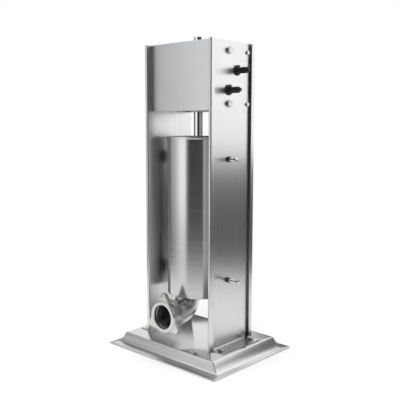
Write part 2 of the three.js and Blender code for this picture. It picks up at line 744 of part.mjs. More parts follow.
function pistonParts() {
  return [
    mesh("rack_bar", rack(), chrome()),
    mesh("piston_body", pistonBody(), whiteNylon()),
    mesh("piston_seal", pistonSeal(), silicone()),
    mesh("piston_plate", pistonPlate(), polishedSteel()),
    mesh("piston_nut", pistonNut(), polishedSteel()),
    mesh("air_valve", airValve(), polishedSteel()),
  ];
}

function cylinderParts() {
  return [
    mesh("meat_cylinder", meatCylinder(), brushedSteel()),
    mesh("outlet_elbow", elbow(), satinSteel()),
    mesh("outlet_ferrule", ferrule(), castSteel(), [0, 0, OUTLET_Z]),
    mesh("outlet_seal", outletSeal(), blackRubber(), [0, 0, OUTLET_Z]),
    mesh("wing_nut", wingNut(), castSteel(), [0, 0, OUTLET_Z]),
  ];
}

function clampParts() {
  const parts = [];
  for (const side of ["left", "right"]) {
    const facing = (shape) => (side === "left" ? mirrored(shape) : shape);
    for (const level of ["upper", "lower"]) {
      const at = [0, CLAMP_Y, CLAMP_Z[level]];
      const tail = `${side}_${level}`;
      parts.push(mesh(`clamp_nut_${tail}`, facing(clampNut()), blackSteel(), at));
      parts.push(mesh(`clamp_screw_${tail}`, facing(clampScrew(level)), polishedSteel(), at));
      parts.push(mesh(`clamp_pad_${tail}`, facing(clampPad()), blackRubber(), at));
    }
  }
  return parts;
}

const stuffer = new THREE.Group();
stuffer.name = "sausage_stuffer";
stuffer.add(...frameParts(), ...gearboxBolts(), ...bushes(), fastShaft(), slowShaft());
stuffer.add(...pistonParts(), ...cylinderParts(), ...clampParts());

export default stuffer;
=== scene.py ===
"""Looks for the upright sausage stuffer: detailed pieces, procedural finishes, studio."""
import math

import bmesh
import bpy
from mathutils import Matrix, Vector


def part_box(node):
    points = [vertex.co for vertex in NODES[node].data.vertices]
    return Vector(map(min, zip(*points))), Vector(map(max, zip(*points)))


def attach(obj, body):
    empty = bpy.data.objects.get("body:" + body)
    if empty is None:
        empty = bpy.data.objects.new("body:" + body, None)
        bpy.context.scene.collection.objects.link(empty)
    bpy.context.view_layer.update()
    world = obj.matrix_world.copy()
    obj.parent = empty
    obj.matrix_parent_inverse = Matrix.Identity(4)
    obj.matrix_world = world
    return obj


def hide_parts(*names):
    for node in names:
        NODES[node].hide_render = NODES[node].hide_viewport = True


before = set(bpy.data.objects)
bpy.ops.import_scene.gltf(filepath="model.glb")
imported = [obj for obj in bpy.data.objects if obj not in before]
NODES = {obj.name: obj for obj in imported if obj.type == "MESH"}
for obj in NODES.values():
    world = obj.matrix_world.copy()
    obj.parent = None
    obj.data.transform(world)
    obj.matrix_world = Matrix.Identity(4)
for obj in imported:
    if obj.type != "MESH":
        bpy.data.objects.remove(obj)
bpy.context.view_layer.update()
MM = 0.001


# ------------------------------------------------------------------ node boxes
def low(node):
    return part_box(node)[0]


def high(node):
    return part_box(node)[1]


def centre(node):
    a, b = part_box(node)
    return (a + b) / 2


# ------------------------------------------------------------------ mesh tools
def finish_mesh(name, bm, body, nodes, material, angle=32.0):
    """Turns bm into a shown piece that stands for the CAD nodes and rides on the body."""
    bmesh.ops.recalc_face_normals(bm, faces=bm.faces)
    data = bpy.data.meshes.new(name)
    bm.to_mesh(data)
    bm.free()
    data.shade_smooth()
    data.set_sharp_from_angle(angle=math.radians(angle))
    data.materials.append(material)
    piece = bpy.data.objects.new(name, data)
    bpy.context.scene.collection.objects.link(piece)
    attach(piece, body)
    if nodes:
        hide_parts(*nodes)
    return piece


def add_loft(bm, loops, ring=False, caps=True):
    """Joins loops of equally many points with quads, then closes the ends."""
    rows = [[bm.verts.new(p) for p in loop] for loop in loops]
    pairs = list(zip(rows, rows[1:]))
    if ring:
        pairs.append((rows[-1], rows[0]))
    for one, two in pairs:
        for i in range(len(one)):
            j = (i + 1) % len(one)
            bm.faces.new((one[i], one[j], two[j], two[i]))
    if caps and not ring:
        bm.faces.new(rows[0])
        bm.faces.new(rows[-1])


def turned(axis, radius, along, angle):
    """The point at that radius, height and angle about an axis through the origin."""
    a, b = radius * math.cos(angle), radius * math.sin(angle)
    if axis == "z":
        return Vector((a, b, along))
    if axis == "y":
        return Vector((b, along, a))
    return Vector((along, a, b))


def around(count):
    """Evenly spaced angles, once round."""
    return [2 * math.pi * i / count for i in range(count)]


def add_lathe(bm, axis, middle, profile, segments=96, ring=False):
    """Revolves [radius, height] points; ring closes the profile on itself."""
    loops = [[middle + turned(axis, radius * MM, along * MM, a) for a in around(segments)]
             for radius, along in profile]
    add_loft(bm, loops, ring)


def rounded(points, radius, closed=True, steps=5):
    """Rounds the corners of a flat outline; an open one keeps its two ends."""
    made = []
    count = len(points)
    for i, point in enumerate(points):
        if not closed and i in (0, count - 1):
            made.append(tuple(point))
            continue
        p = Vector(point)
        a, b = Vector(points[i - 1]) - p, Vector(points[(i + 1) % count]) - p
        turn = a.angle(b)
        reach = min(radius / math.tan(turn / 2), a.length * 0.49, b.length * 0.49)
        r = reach * math.tan(turn / 2)
        hub = p + (a.normalized() + b.normalized()).normalized() * (r / math.sin(turn / 2))
        start, end = p + a.normalized() * reach - hub, p + b.normalized() * reach - hub
        sweep = start.angle_signed(end)
        for k in range(steps + 1):
            at = Matrix.Rotation(-sweep * k / steps, 2) @ start
            made.append(tuple(hub + at))
    return made


def thick_path(points, thickness, radius):
    """Closed outline of a folded sheet whose middle follows the points."""
    line = [Vector(p) for p in rounded(points, radius, closed=False)]
    left, right = [], []
    for i, p in enumerate(line):
        ahead = line[min(i + 1, len(line) - 1)] - line[max(i - 1, 0)]
        side = Vector((-ahead.y, ahead.x)).normalized() * thickness / 2
        left.append(tuple(p + side))
        right.append(tuple(p - side))
    return left + right[::-1]


def add_extrusion(bm, outline, axis, start, end):
    """Extrudes a flat outline in millimetres along an axis."""

    def place(u, v, w):
        return {"z": (u, v, w), "x": (w, u, v), "y": (u, w, v)}[axis]

    loops = [[Vector(place(u, v, w)) * MM for u, v in outline] for w in (start, end)]
    add_loft(bm, loops)


def soften(piece, width, segments=2, angle=40):
    """Small rounded edges."""
    bevel = piece.modifiers.new("bevel", "BEVEL")
    bevel.width = width * MM
    bevel.segments = segments
    bevel.limit_method = "ANGLE"
    bevel.angle_limit = math.radians(angle)
    bevel.harden_normals = True
    return piece


# ------------------------------------------------------------------ materials
class Finish:
    """A procedural metal or plastic, built up by short steps."""

    def __init__(self, name, color, metallic, roughness):
        self.material = bpy.data.materials.new(name)
        self.material.use_nodes = True
        self.tree = self.material.node_tree
        self.shader = self.tree.nodes["Principled BSDF"]
        self.shader.inputs["Metallic"].default_value = metallic
        self.shader.inputs["Base Color"].default_value = (*color, 1)
        self.shader.inputs["Roughness"].default_value = roughness
        self.color, self.roughness = color, roughness
        self.height = None

    def node(self, kind, **values):
        made = self.tree.nodes.new(kind)
        for key, value in values.items():
            setattr(made, key, value)
        return made

    def link(self, a, b):
        self.tree.links.new(a, b)

    def noise(self, stretch, detail=3.0, rough=0.55):
        """Noise whose scale along each axis is given per metre."""
        coords = self.node("ShaderNodeTexCoord")
        mapping = self.node("ShaderNodeMapping")
        mapping.inputs["Scale"].default_value = stretch
        texture = self.node("ShaderNodeTexNoise")
        texture.inputs["Scale"].default_value = 1.0
        texture.inputs["Detail"].default_value = detail
        texture.inputs["Roughness"].default_value = rough
        self.link(coords.outputs["Object"], mapping.inputs["Vector"])
        self.link(mapping.outputs["Vector"], texture.inputs["Vector"])
        return texture.outputs["Fac"]

    def ranged(self, value, to_low, to_high, from_low=0.3, from_high=0.7):
        made = self.node("ShaderNodeMapRange")
        made.inputs["From Min"].default_value = from_low
        made.inputs["From Max"].default_value = from_high
        made.inputs["To Min"].default_value = to_low
        made.inputs["To Max"].default_value = to_high
        self.link(value, made.inputs["Value"])
        return made.outputs["Result"]

    def vary_roughness(self, value, spread):
        result = self.ranged(value, self.roughness - spread, self.roughness + spread)
        self.link(result, self.shader.inputs["Roughness"])
        return self

    def bump(self, value, strength, distance=0.0002):
        made = self.node("ShaderNodeBump")
        made.inputs["Strength"].default_value = strength
        made.inputs["Distance"].default_value = distance
        self.link(value, made.inputs["Height"])
        if self.height is not None:
            self.link(self.height, made.inputs["Normal"])
        self.height = made.outputs["Normal"]
        self.link(self.height, self.shader.inputs["Normal"])
        return self

    def tint(self, value, other):
        """Mixes the base colour towards another by a value between 0 and 1."""
        mix = self.node("ShaderNodeMix", data_type="RGBA")
        mix.inputs["A"].default_value = (*self.color, 1)
        mix.inputs["B"].default_value = (*other, 1)
        self.link(value, mix.inputs["Factor"])
        self.link(mix.outputs["Result"], self.shader.inputs["Base Color"])
        return self

    def edge_wear(self, other, radius=0.0006):
        """Brighter, rubbed metal along the sharp edges."""
        geometry = self.node("ShaderNodeNewGeometry")
        bevel = self.node("ShaderNodeBevel", samples=4)
        bevel.inputs["Radius"].default_value = radius
        dot = self.node("ShaderNodeVectorMath", operation="DOT_PRODUCT")
        self.link(bevel.outputs["Normal"], dot.inputs[0])
        self.link(geometry.outputs["Normal"], dot.inputs[1])
        mask = self.ranged(dot.outputs["Value"], 1.0, 0.0, 0.86, 0.995)
        return self.tint(mask, other)


# Stretch vectors for the noise: grain runs where the number is small.
GRAIN_UP = (2600.0, 2600.0, 22.0)
GRAIN_ROUND = (26.0, 26.0, 2600.0)
GRAIN_ACROSS = (24.0, 2600.0, 2600.0)
STREAK_UP = (260.0, 260.0, 3.0)
STREAK_ROUND = (4.0, 4.0, 240.0)
STREAK_ACROSS = (4.0, 260.0, 260.0)
CLOUD = (16.0, 16.0, 12.0)
GRIT = (3200.0, 3200.0, 3200.0)


def brushed(name, color, roughness, grain, streak, strength=0.25, smear=0.0, turn=0.0, spread=0.04):
    """Brushed steel; smear blurs what it reflects across the grain, turned by turn."""
    made = Finish(name, color, 1.0, roughness)
    if smear:
        made.shader.inputs["Anisotropic"].default_value = smear
        made.shader.inputs["Anisotropic Rotation"].default_value = turn
        tangent = made.node("ShaderNodeTangent", direction_type="RADIAL", axis="Z")
        made.link(tangent.outputs["Tangent"], made.shader.inputs["Tangent"])
    made.bump(made.noise(grain, 2.0), strength, 0.00006)
    made.vary_roughness(made.noise(streak, 4.0), spread)
    wear = made.ranged(made.noise(CLOUD, 3.0), 0.0, 0.35)
    made.tint(wear, tuple(c * 0.86 for c in color))
    return made.material


def cast(name, color, roughness, wear):
    """Gritty, slightly wavy cast metal with rubbed edges."""
    made = Finish(name, color, 1.0, roughness)
    made.bump(made.noise(GRIT, 4.0, 0.7), 0.5, 0.0001)
    made.bump(made.noise((220.0, 220.0, 220.0), 3.0), 0.2, 0.0003)
    made.vary_roughness(made.noise((90.0, 90.0, 90.0), 4.0), 0.1)
    return made.edge_wear(wear).material


def machined(name, color, roughness, wear, metallic=1.0):
    """Fine turned or milled metal with rubbed edges."""
    made = Finish(name, color, metallic, roughness)
    made.bump(made.noise((1500.0, 1500.0, 1500.0), 3.0), 0.2, 0.00005)
    made.vary_roughness(made.noise((120.0, 120.0, 120.0), 4.0), 0.08)
    return made.edge_wear(wear).material


def moulded(name, color, roughness, other):
    """Plastic or rubber, clouded towards another color."""
    made = Finish(name, color, 0.0, roughness)
    made.bump(made.noise((1400.0, 1400.0, 1400.0), 3.0), 0.3, 0.00008)
    made.vary_roughness(made.noise((70.0, 70.0, 70.0), 4.0), 0.08)
    made.tint(made.ranged(made.noise(CLOUD, 4.0), 0.0, 0.6), other)
    return made.material


PANEL = brushed("panel_steel", (0.70, 0.70, 0.70), 0.29, GRAIN_UP, STREAK_UP, 0.035, 0.3, spread=0.025)
CYLINDER = brushed("cylinder_steel", (0.66, 0.66, 0.66), 0.20, GRAIN_ROUND, STREAK_ROUND, 0.05,
                   smear=0.8, turn=0.25, spread=0.02)
COVER = brushed("cover_steel", (0.66, 0.665, 0.675), 0.38, GRAIN_UP, STREAK_UP, 0.05, 0.3, spread=0.03)
DECK = brushed("deck_steel", (0.70, 0.70, 0.70), 0.12, GRAIN_ACROSS, STREAK_ACROSS, 0.05, spread=0.02)
SKIRT = brushed("skirt_steel", (0.70, 0.70, 0.70), 0.30, GRAIN_ACROSS, STREAK_ACROSS, 0.08)
BOLT = machined("bolt_steel", (0.66, 0.66, 0.65), 0.42, (0.85, 0.85, 0.85))
PIPE = brushed("pipe_steel", (0.70, 0.70, 0.69), 0.22, (300.0, 300.0, 300.0), CLOUD, 0.1)
CHROME = brushed("chrome", (0.80, 0.80, 0.81), 0.05, GRAIN_ROUND, STREAK_UP, 0.03)
CAST = cast("cast_steel", (0.66, 0.66, 0.645), 0.36, (0.8, 0.8, 0.79))
BRIGHT = machined("bright_steel", (0.70, 0.70, 0.70), 0.16, (0.85, 0.85, 0.85))
GEAR = machined("gear_steel", (0.26, 0.26, 0.27), 0.35, (0.5, 0.5, 0.5))
BRONZE = machined("bronze", (0.52, 0.33, 0.14), 0.35, (0.7, 0.5, 0.25))
BLACK = machined("black_steel", (0.016, 0.016, 0.017), 0.34, (0.09, 0.09, 0.09), 0.4)
NYLON = moulded("white_nylon", (0.76, 0.75, 0.70), 0.45, (0.66, 0.64, 0.58))
SILICONE = moulded("silicone", (0.68, 0.66, 0.60), 0.5, (0.60, 0.57, 0.50))
RUBBER = moulded("black_rubber", (0.018, 0.018, 0.018), 0.6, (0.035, 0.034, 0.033))


# ------------------------------------------------------------------ sheet pieces
SHEET = 1.5  # side panels and their feet
THIN = 1.2  # covers
FLANGE = 8.0  # depth of a side panel's flanges
LIP = 11.0  # width of the lips returned from them
BEND, COVER_BEND = 2.2, 1.8  # bend radii at the middle of the sheet
FOOT_Y = 61.5  # half the length of a foot
FOOT_TUCK = 0.6  # how far a foot reaches into the web
FILLET = 3.0  # inner radius between web and foot
PLATEAU_X, PLATEAU_Y = 133.4, 102.3  # half the size of the base's raised top
SEAM_BEAD, SEAM_SINK = 0.55, 0.35  # radius of the corner welds, and how far they sink in


def side_panel(side):
    """Web, two flanges with returned lips, and a foot."""
    node = f"side_panel_{side}"
    sign = -1 if side == "left" else 1
    a, b = low(node) / MM, high(node) / MM
    web_in = min(abs(a.x), abs(b.x))
    foot = max(abs(a.x), abs(b.x))
    lip_x, half = web_in + FLANGE - SHEET / 2, b.y - SHEET / 2
    web = web_in + SHEET / 2
    path = [(lip_x, LIP - b.y), (lip_x, -half), (web, -half),
            (web, half), (lip_x, half), (lip_x, b.y - LIP)]
    outline = [(sign * x, y) for x, y in thick_path(path, SHEET, BEND)]
    bm = bmesh.new()
    add_extrusion(bm, outline, "z", a.z, b.z)
    # The foot, and the rounded bend between it and the web.
    root = web_in + FOOT_TUCK
    plate = [(root, -FOOT_Y), (foot, -FOOT_Y), (foot, FOOT_Y), (root, FOOT_Y)]
    add_extrusion(bm, [(sign * x, y) for x, y in plate], "z", a.z, a.z + SHEET)
    corner_x, corner_z = web_in + SHEET - 0.1, a.z + SHEET - 0.1
    fillet = [(corner_x, corner_z), (corner_x + FILLET, corner_z)]
    for k in range(1, 7):
        angle = math.radians(15 * k)
        fillet.append((corner_x + FILLET - FILLET * math.sin(angle),
                       corner_z + FILLET - FILLET * math.cos(angle)))
    loops = [[Vector((sign * x, y, z)) * MM for x, z in fillet] for y in (-FOOT_Y, FOOT_Y)]
    add_loft(bm, loops)
    piece = finish_mesh(f"{node}_sheet", bm, "frame", [node], PANEL)
    return soften(piece, 0.3)


def folded_cover(node, front):
    """Three-sided cover, open towards the middle of the machine."""
    a, b = low(node) / MM, high(node) / MM
    edge = b.x - THIN / 2
    face, end = (a.y + THIN / 2, b.y) if front else (b.y - THIN / 2, a.y)
    path = [(-edge, end), (-edge, face), (edge, face), (edge, end)]
    bm = bmesh.new()
    add_extrusion(bm, thick_path(path, THIN, COVER_BEND), "z", a.z, b.z)
    return soften(finish_mesh(f"{node}_sheet", bm, "frame", [node], COVER), 0.25)


def base_shell():
    """Raised plateau, hollow sloping skirt and flat hemmed rim, pressed from one sheet."""
    b = high("base_pan") / MM
    top = b.z
    levels = [
        # half width, half depth, corner radius, height
        (PLATEAU_X - 1.9, PLATEAU_Y - 1.9, 1.6, top), (PLATEAU_X - 0.9, PLATEAU_Y - 0.9, 1.9, top - 0.35),
        (PLATEAU_X - 0.1, PLATEAU_Y - 0.1, 2.0, top - 1.2), (134.4, 102.7, 2.0, top - 2.6),
        (138.9, 104.3, 2.0, 16.5), (143.2, 105.8, 2.0, 9.4), (147.6, 107.2, 2.0, 4.5),
        (149.0, 107.8, 2.0, 3.55), (150.6, 109.2, 2.0, 3.2), (b.x - 1.1, b.y - 1.1, 2.2, 3.1),
        (b.x - 0.3, b.y - 0.3, 2.6, 2.7), (b.x, b.y, 2.8, 1.9), (b.x, b.y, 2.8, 0.9),
        (b.x - 0.3, b.y - 0.3, 2.6, 0.25), (b.x - 0.9, b.y - 0.9, 2.4, 0.0),
        (b.x - 8.5, b.y - 8.5, 2.0, 0.0), (b.x - 9.0, b.y - 9.0, 2.0, 0.5),
        (b.x - 9.0, b.y - 9.0, 2.0, 1.6), (147.6, 105.8, 2.0, 1.7), (141.4, 104.0, 2.0, 9.4),
        (132.0, 100.9, 2.0, top - 2.2), (131.2, 100.2, 1.6, top - 1.6),
    ]
    bm = bmesh.new()
    loops = []
    for half_x, half_y, r, z in levels:
        box = [(-half_x, -half_y), (half_x, -half_y), (half_x, half_y), (-half_x, half_y)]
        loops.append([Vector((x, y, z)) * MM for x, y in rounded(box, r, steps=4)])
    add_loft(bm, loops)
    shell = finish_mesh("base_shell", bm, "frame", ["base_pan"], DECK, 50)
    shell.data.materials.append(SKIRT)
    for face in shell.data.polygons:
        face.material_index = 0 if face.center.z / MM > top - 0.2 else 1
    return shell


def weld_seams():
    """Ground weld lines down the corners of the base."""
    b = high("base_pan") / MM
    route = [(134.6, 102.9, 25.3), (139.2, 104.5, 16.6), (147.6, 107.1, 5.0), (151.0, 109.6, 3.2),
             (b.x - 1, b.y - 1, 3.15)]
    for i, (sx, sy) in enumerate([(-1, -1), (1, -1), (1, 1), (-1, 1)]):
        loops = []
        for x, y, z in route:
            mid = Vector((sx * (x - SEAM_SINK), sy * (y - SEAM_SINK), z - 0.25)) * MM
            loops.append([mid + Vector((sx * math.cos(t), -sy * math.cos(t), math.sin(t))) * SEAM_BEAD * MM
                          for t in around(8)])
        bm = bmesh.new()
        add_loft(bm, loops)
        finish_mesh(f"corner_weld_{i}", bm, "frame", [], CAST)


for panel_side in ("left", "right"):
    side_panel(panel_side)
folded_cover("front_cover", True)
folded_cover("rear_cover", False)
base_shell()
weld_seams()
soften(NODES["top_cover"], 0.2).data.materials.clear()
NODES["top_cover"].data.materials.append(COVER)


# ------------------------------------------------------------------ fasteners
# Hexagon bolts: width across flats, height of the head, radius of the thread.
M8 = (13.0, 5.3, 4.0)
M5 = (8.0, 3.5, 2.5)


def hex_radius(flats, angle):
    """Distance from the middle of a hexagon to its outline."""
    sixth = math.pi / 3
    return flats / 2 / math.cos((angle + sixth / 2) % sixth - sixth / 2)


def add_hex_head(bm, axis, middle, flats, start, end, chamfer_both=False, hole=0.0):
    """Hexagon head or nut with its corners cut back by a cone."""
    sign = 1 if end > start else -1
    flat_r = flats / 2 * 0.94  # the round face that the chamfer leaves
    angles = around(96)

    def row(height, radius_of):
        return [middle + turned(axis, radius_of(t) * MM, height * MM, t) for t in angles]

    def cut(t):
        return (hex_radius(flats, t) - flat_r) * 0.5

    def side(t):
        return hex_radius(flats, t)

    outer = [middle + turned(axis, side(t) * MM, (end - sign * cut(t)) * MM, t) for t in angles]
    inner = [middle + turned(axis, side(t) * MM, (start + sign * cut(t)) * MM, t) for t in angles]
    first = inner if chamfer_both else row(start, side)
    loops = [first, outer, row(end, lambda t: flat_r), row(end - sign * 0.25, lambda t: flat_r * 0.9)]
    if chamfer_both:
        loops.insert(0, row(start, lambda t: flat_r))
    if hole:
        loops[-1] = row(end, lambda t: hole + 0.4)
        loops.append(row(end - sign * 0.4, lambda t: hole))
        loops.append(row(start, lambda t: hole))
        add_loft(bm, loops, ring=True)
    else:
        add_loft(bm, loops)


def add_thread(bm, axis, middle, radius, depth, pitch, start, end, segments=32, per_turn=8):
    """A rod with a helical thread and rounded flanks."""
    count = max(2, int(abs(end - start) / pitch * per_turn))
    loops = []
    for k in range(count + 1):
        along = start + (end - start) * k / count
        ring = []
        for i in range(segments):
            t = 2 * math.pi * i / segments
            phase = (along / pitch - i / segments) * 2 * math.pi
            fade = min(1.0, min(abs(along - start), abs(end - along)) / pitch)
            r = radius - depth * fade * (0.5 + 0.5 * math.cos(phase))
            ring.append(middle + turned(axis, r * MM, along * MM, t))
        loops.append(ring)
    add_loft(bm, loops)


def axis_point(node, axis):
    """The centre of a node with the coordinate along its axis set to nought."""
    c = centre(node)
    setattr(c, axis, 0.0)
    return c


def gearbox_bolt(node):
    """Bolt through a side panel: M8 at the front, M5 at the rear."""
    a, b = low(node) / MM, high(node) / MM
    sign = 1 if b.x > 0 else -1
    far, near = max(abs(a.x), abs(b.x)), min(abs(a.x), abs(b.x))
    bm = bmesh.new()
    middle = axis_point(node, "x")
    flats, head, r = M8 if "front" in node else M5
    add_hex_head(bm, "x", middle, flats, sign * (far - head), sign * far)
    shank = [(r - 0.3, near), (r, near + 0.6), (r, far - head + 0.2)]
    add_lathe(bm, "x", middle, [(radius, sign * x) for radius, x in shank], 32)
    finish_mesh(f"{node}_hex", bm, "frame", [node], BOLT, 24)


def foot_bolt(node):
    """Bolt that holds a side panel's foot down on the base."""
    a, b = low(node) / MM, high(node) / MM
    bm = bmesh.new()
    middle = axis_point(node, "z")
    flats, head, r = M8
    add_hex_head(bm, "z", middle, flats, b.z - head, b.z)
    add_thread(bm, "z", middle, r, 0.5, 1.25, a.z, b.z - 5.0)
    finish_mesh(f"{node}_hex", bm, "frame", [node], BOLT, 24)


def side_span(node):
    """How near and how far a part is from the middle plane, in millimetres."""
    ends = abs(low(node).x), abs(high(node).x)
    return min(ends) / MM, max(ends) / MM


def clamp(side, level):
    """Nut on the panel, screw with a round knob, and pad against the cylinder."""
    sign = -1 if side == "left" else 1
    tail = f"{side}_{level}"
    nut, screw, pad = f"clamp_nut_{tail}", f"clamp_screw_{tail}", f"clamp_pad_{tail}"
    middle = axis_point(nut, "x")
    near, far = side_span(nut)
    bm = bmesh.new()
    add_hex_head(bm, "x", middle, 10.0, sign * near, sign * far, True, 3.1)
    finish_mesh(f"{nut}_hex", bm, "frame", [nut], BLACK, 24)

    tip, end = side_span(screw)
    bm = bmesh.new()
    add_thread(bm, "x", middle, 3.0, 0.42, 1.0, sign * tip, sign * (end - 5.5))
    knob = [(2.6, end - 6.4), (4.4, end - 6.2), (4.9, end - 5.6), (5.0, end - 5.0), (5.0, end - 1.0),
            (4.7, end - 0.4), (4.1, end - 0.05), (3.0, end)]
    add_lathe(bm, "x", middle, [(r, sign * x) for r, x in knob], 48)
    finish_mesh(f"{screw}_turned", bm, f"screw_{tail}", [screw], BRIGHT)

    inner, outer = side_span(pad)
    bm = bmesh.new()
    shape = [(14.6, inner), (15.6, inner + 0.3), (16.0, inner + 1.0), (16.0, inner + 2.8),
             (15.4, inner + 3.7), (14.4, inner + 4.0), (8.4, inner + 4.0), (7.4, inner + 4.3),
             (7.0, inner + 5.0), (7.0, outer - 0.6), (6.4, outer), (3.2, outer), (3.2, inner + 2.2)]
    add_lathe(bm, "x", middle, [(r, sign * x) for r, x in shape], 64)
    finish_mesh(f"{pad}_turned", bm, f"pad_{tail}", [pad], RUBBER)


for name in list(NODES):
    if name.startswith("bolt_"):
        gearbox_bolt(name)
    if name.startswith("foot_bolt_"):
        foot_bolt(name)
for clamp_side in ("left", "right"):
    for clamp_level in ("upper", "lower"):
        clamp(clamp_side, clamp_level)


# ------------------------------------------------------------------ crank shafts
SHAFT_R, GROOVE_R = 6.5, 6.0
GROOVE_X = 94.0  # where the circlip's groove starts
FLAT_HALF, FLAT_TURN = 5.5, 0.6  # half the width across the two flats, and their turn in radians
TIP_R, TIP_LENGTH = 3.5, 5


def crank_shaft(name, body):
    """Black shaft whose outer end has two flats for the crank and a turned-down tip."""
    a, b = low(name) / MM, high(name) / MM
    middle = axis_point(name, "x")
    end, root = b.x, GROOVE_X
    rows = [
        # place along the shaft, radius, whether the flats cut it
        (a.x, 5.9, False), (a.x + 0.6, SHAFT_R, False), (root, SHAFT_R, False),
        (root + 0.05, GROOVE_R, False), (root + 1.9, GROOVE_R, False), (root + 1.95, SHAFT_R, False),
        (root + 5, SHAFT_R, False), (root + 5.4, SHAFT_R, True), (end - 6, SHAFT_R, True),
        (end - TIP_LENGTH, 5.6, True), (end - TIP_LENGTH, TIP_R, False), (end - 0.6, TIP_R, False),
        (end, 2.9, False),
    ]
    loops = []
    for x, r, flat in rows:
        ring = []
        for t in around(64):
            limit = FLAT_HALF / max(abs(math.cos(t - FLAT_TURN)), 1e-6) if flat else r
            ring.append(middle + turned("x", min(r, limit) * MM, x * MM, t))
        loops.append(ring)
    bm = bmesh.new()
    add_loft(bm, loops)
    finish_mesh(f"{name}_turned", bm, body, [name], BLACK, 25)


def outer_bush(name):
    """Flanged bush in the right side panel."""
    a, b = low(name) / MM, high(name) / MM
    face = b.x
    bm = bmesh.new()
    shape = [(6.6, a.x), (8.9, a.x), (8.9, face - 2.4), (10.0, face - 2.4), (10.5, face - 2.0),
             (10.5, face - 0.6), (9.9, face), (7.2, face), (6.6, face - 0.5)]
    add_lathe(bm, "x", axis_point(name, "x"), shape, 64, ring=True)
    finish_mesh(f"{name}_turned", bm, "frame", [name], BLACK)


def paint(node, material, edge=0.0):
    """Gives a CAD node that stays shown its finish and small rounded edges."""
    piece = NODES[node]
    piece.data.materials.clear()
    piece.data.materials.append(material)
    piece.data.shade_smooth()
    piece.data.set_sharp_from_angle(angle=math.radians(28))
    if edge:
        flat = piece.modifiers.new("merge", "DECIMATE")
        flat.decimate_type = "DISSOLVE"
        flat.angle_limit = math.radians(0.8)
        soften(piece, edge, 2, 25)


crank_shaft("fast_shaft", "fast_shaft")
crank_shaft("slow_shaft", "slow_shaft")
outer_bush("fast_bush_right")
outer_bush("slow_bush_right")
for name in ("fast_circlip", "slow_circlip"):
    paint(name, BLACK, 0.15)
for name in ("fast_bush_left", "slow_bush_inner"):
    paint(name, BRONZE, 0.2)
for name in ("rack_pinion", "large_gear", "small_gear"):
    paint(name, GEAR, 0.2)
for name in ("gearbox_plate_left", "gearbox_plate_right", "gearbox_inner_plate",
             "guide_plate_lower", "guide_plate_upper"):
    paint(name, GEAR, 0.3)


# ------------------------------------------------------------------ rack and piston
RACK_R = 12.0
RACK_TEETH = 66
RACK_PITCH = 2 * math.pi
PINION_Z = 610.8  # height of the fast shaft, whose pinion turns on the rack
CHANNEL_HALF = 6.5  # half width of the channel that the teeth are cut in
TOOTH_TIP_Y, TOOTH_ROOT_Y = 7.8, 7.8 - 3.3
FLANK = 0.364  # tangent of the 20 degree pressure angle
GAP_HALF = math.pi / 2 + 0.18  # half a gap at the pitch line, with its backlash
GAP_TIP, GAP_ROOT = GAP_HALF + FLANK * 1.3, GAP_HALF - FLANK * 2.0
SHOULDER_Z, ROD_THREAD_END = 190.2, 190.0
UNCUT = 99  # a channel floor that lies outside the bar


def rack_bar():
    """Round bar with the teeth cut in a channel down its back."""
    a, b = low("rack_bar") / MM, high("rack_bar") / MM
    start = math.acos(-CHANNEL_HALF / RACK_R)
    sweep = 2 * math.pi - 2 * (start - math.pi / 2)
    arc = [start + sweep * k / 80 for k in range(81)]
    across = [CHANNEL_HALF * k / 3 for k in (3, 2, 1, 0, -1, -2, -3)]

    def section(z, floor):
        points = [(RACK_R * math.cos(t), RACK_R * math.sin(t)) for t in arc]
        points += [(x, min(math.sqrt(RACK_R ** 2 - x * x), floor)) for x in across]
        return [Vector((x, y, z)) * MM for x, y in points]

    first = int((b.z - 12 - PINION_Z) // RACK_PITCH)
    top = PINION_Z + first * RACK_PITCH + RACK_PITCH / 2 + 2
    bottom = PINION_Z + (first - RACK_TEETH + 1) * RACK_PITCH - RACK_PITCH / 2 - 2
    shrink = [(b.z, 10.4), (b.z - 0.4, 11.4), (b.z - 1.2, RACK_R)]
    loops = [[Vector((p.x * r / RACK_R, p.y * r / RACK_R, p.z)) for p in section(z, UNCUT)]
             for z, r in shrink]
    loops += [section(top, UNCUT), section(top, TOOTH_TIP_Y)]
    for i in range(RACK_TEETH):
        z = PINION_Z + (first - i) * RACK_PITCH
        loops += [section(z + GAP_TIP, TOOTH_TIP_Y), section(z + GAP_ROOT, TOOTH_ROOT_Y),
                  section(z - GAP_ROOT, TOOTH_ROOT_Y), section(z - GAP_TIP, TOOTH_TIP_Y)]
    loops += [section(bottom, TOOTH_TIP_Y), section(bottom, UNCUT), section(SHOULDER_Z, UNCUT)]
    bm = bmesh.new()
    add_loft(bm, loops)
    add_thread(bm, "z", Vector(), 7.0, 0.7, 1.75, a.z, ROD_THREAD_END, 40)
    finish_mesh("rack_bar_toothed", bm, "piston", ["rack_bar"], CHROME, 28)


